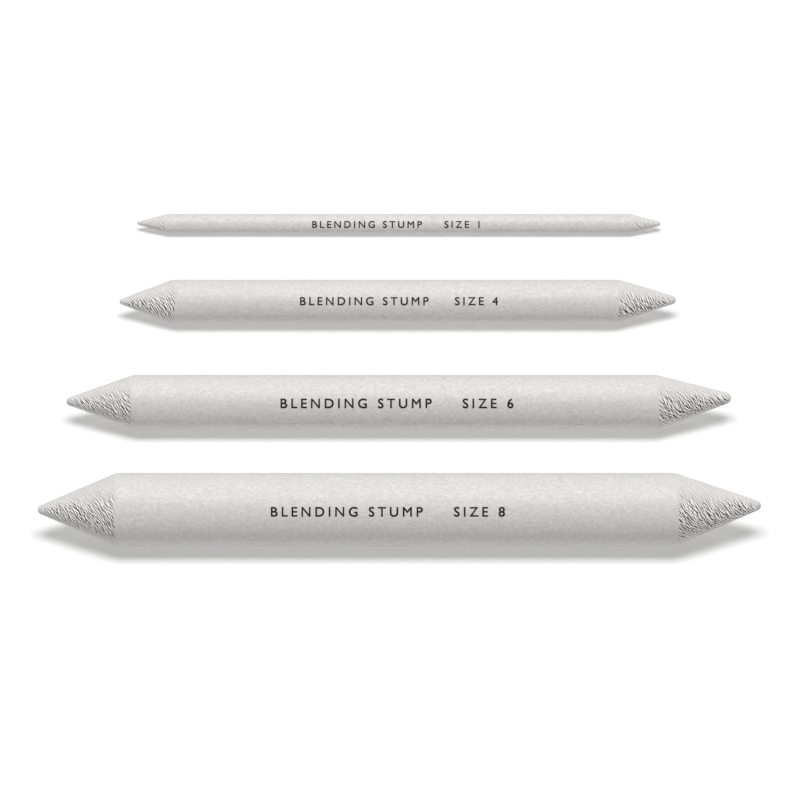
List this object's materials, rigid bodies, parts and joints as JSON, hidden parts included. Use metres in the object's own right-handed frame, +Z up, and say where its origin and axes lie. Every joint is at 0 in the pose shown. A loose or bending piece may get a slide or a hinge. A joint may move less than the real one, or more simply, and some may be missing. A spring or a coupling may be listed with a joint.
{
  "type": "blending stump set",
  "caption": "Graded set of double-ended blending stumps: tightly wound paper rolls with a smooth paper wrap on the barrel and a blunt sanded cone at each end.",
  "frame": {"origin": "centre of the set's footprint, on the surface that the stumps lie on", "axes": "+X along the stumps, +Y from the largest stump at the front to the smallest at the back, +Z up"},
  "size_m": [0.1563, 0.1042, 0.016],
  "materials": {
    "core_paper": "matte",
    "wrap_paper": "matte",
    "black_ink": "matte"
  },
  "bodies": {
    "stump_8": {"stump_8_core": "core_paper", "stump_8_wrap": "wrap_paper"},
    "stump_6": {"stump_6_core": "core_paper", "stump_6_wrap": "wrap_paper"},
    "stump_4": {"stump_4_core": "core_paper", "stump_4_wrap": "wrap_paper"},
    "stump_1": {"stump_1_core": "core_paper", "stump_1_wrap": "wrap_paper"}
  },
  "joints": [
    {"name": "stump_6_lift", "type": "slide", "parent": "stump_8", "child": "stump_6", "axis": [0, 0, 1], "range_m": [0, 0.04]},
    {"name": "stump_4_lift", "type": "slide", "parent": "stump_8", "child": "stump_4", "axis": [0, 0, 1], "range_m": [0, 0.04]},
    {"name": "stump_1_lift", "type": "slide", "parent": "stump_8", "child": "stump_1", "axis": [0, 0, 1], "range_m": [0, 0.04]}
  ]
}
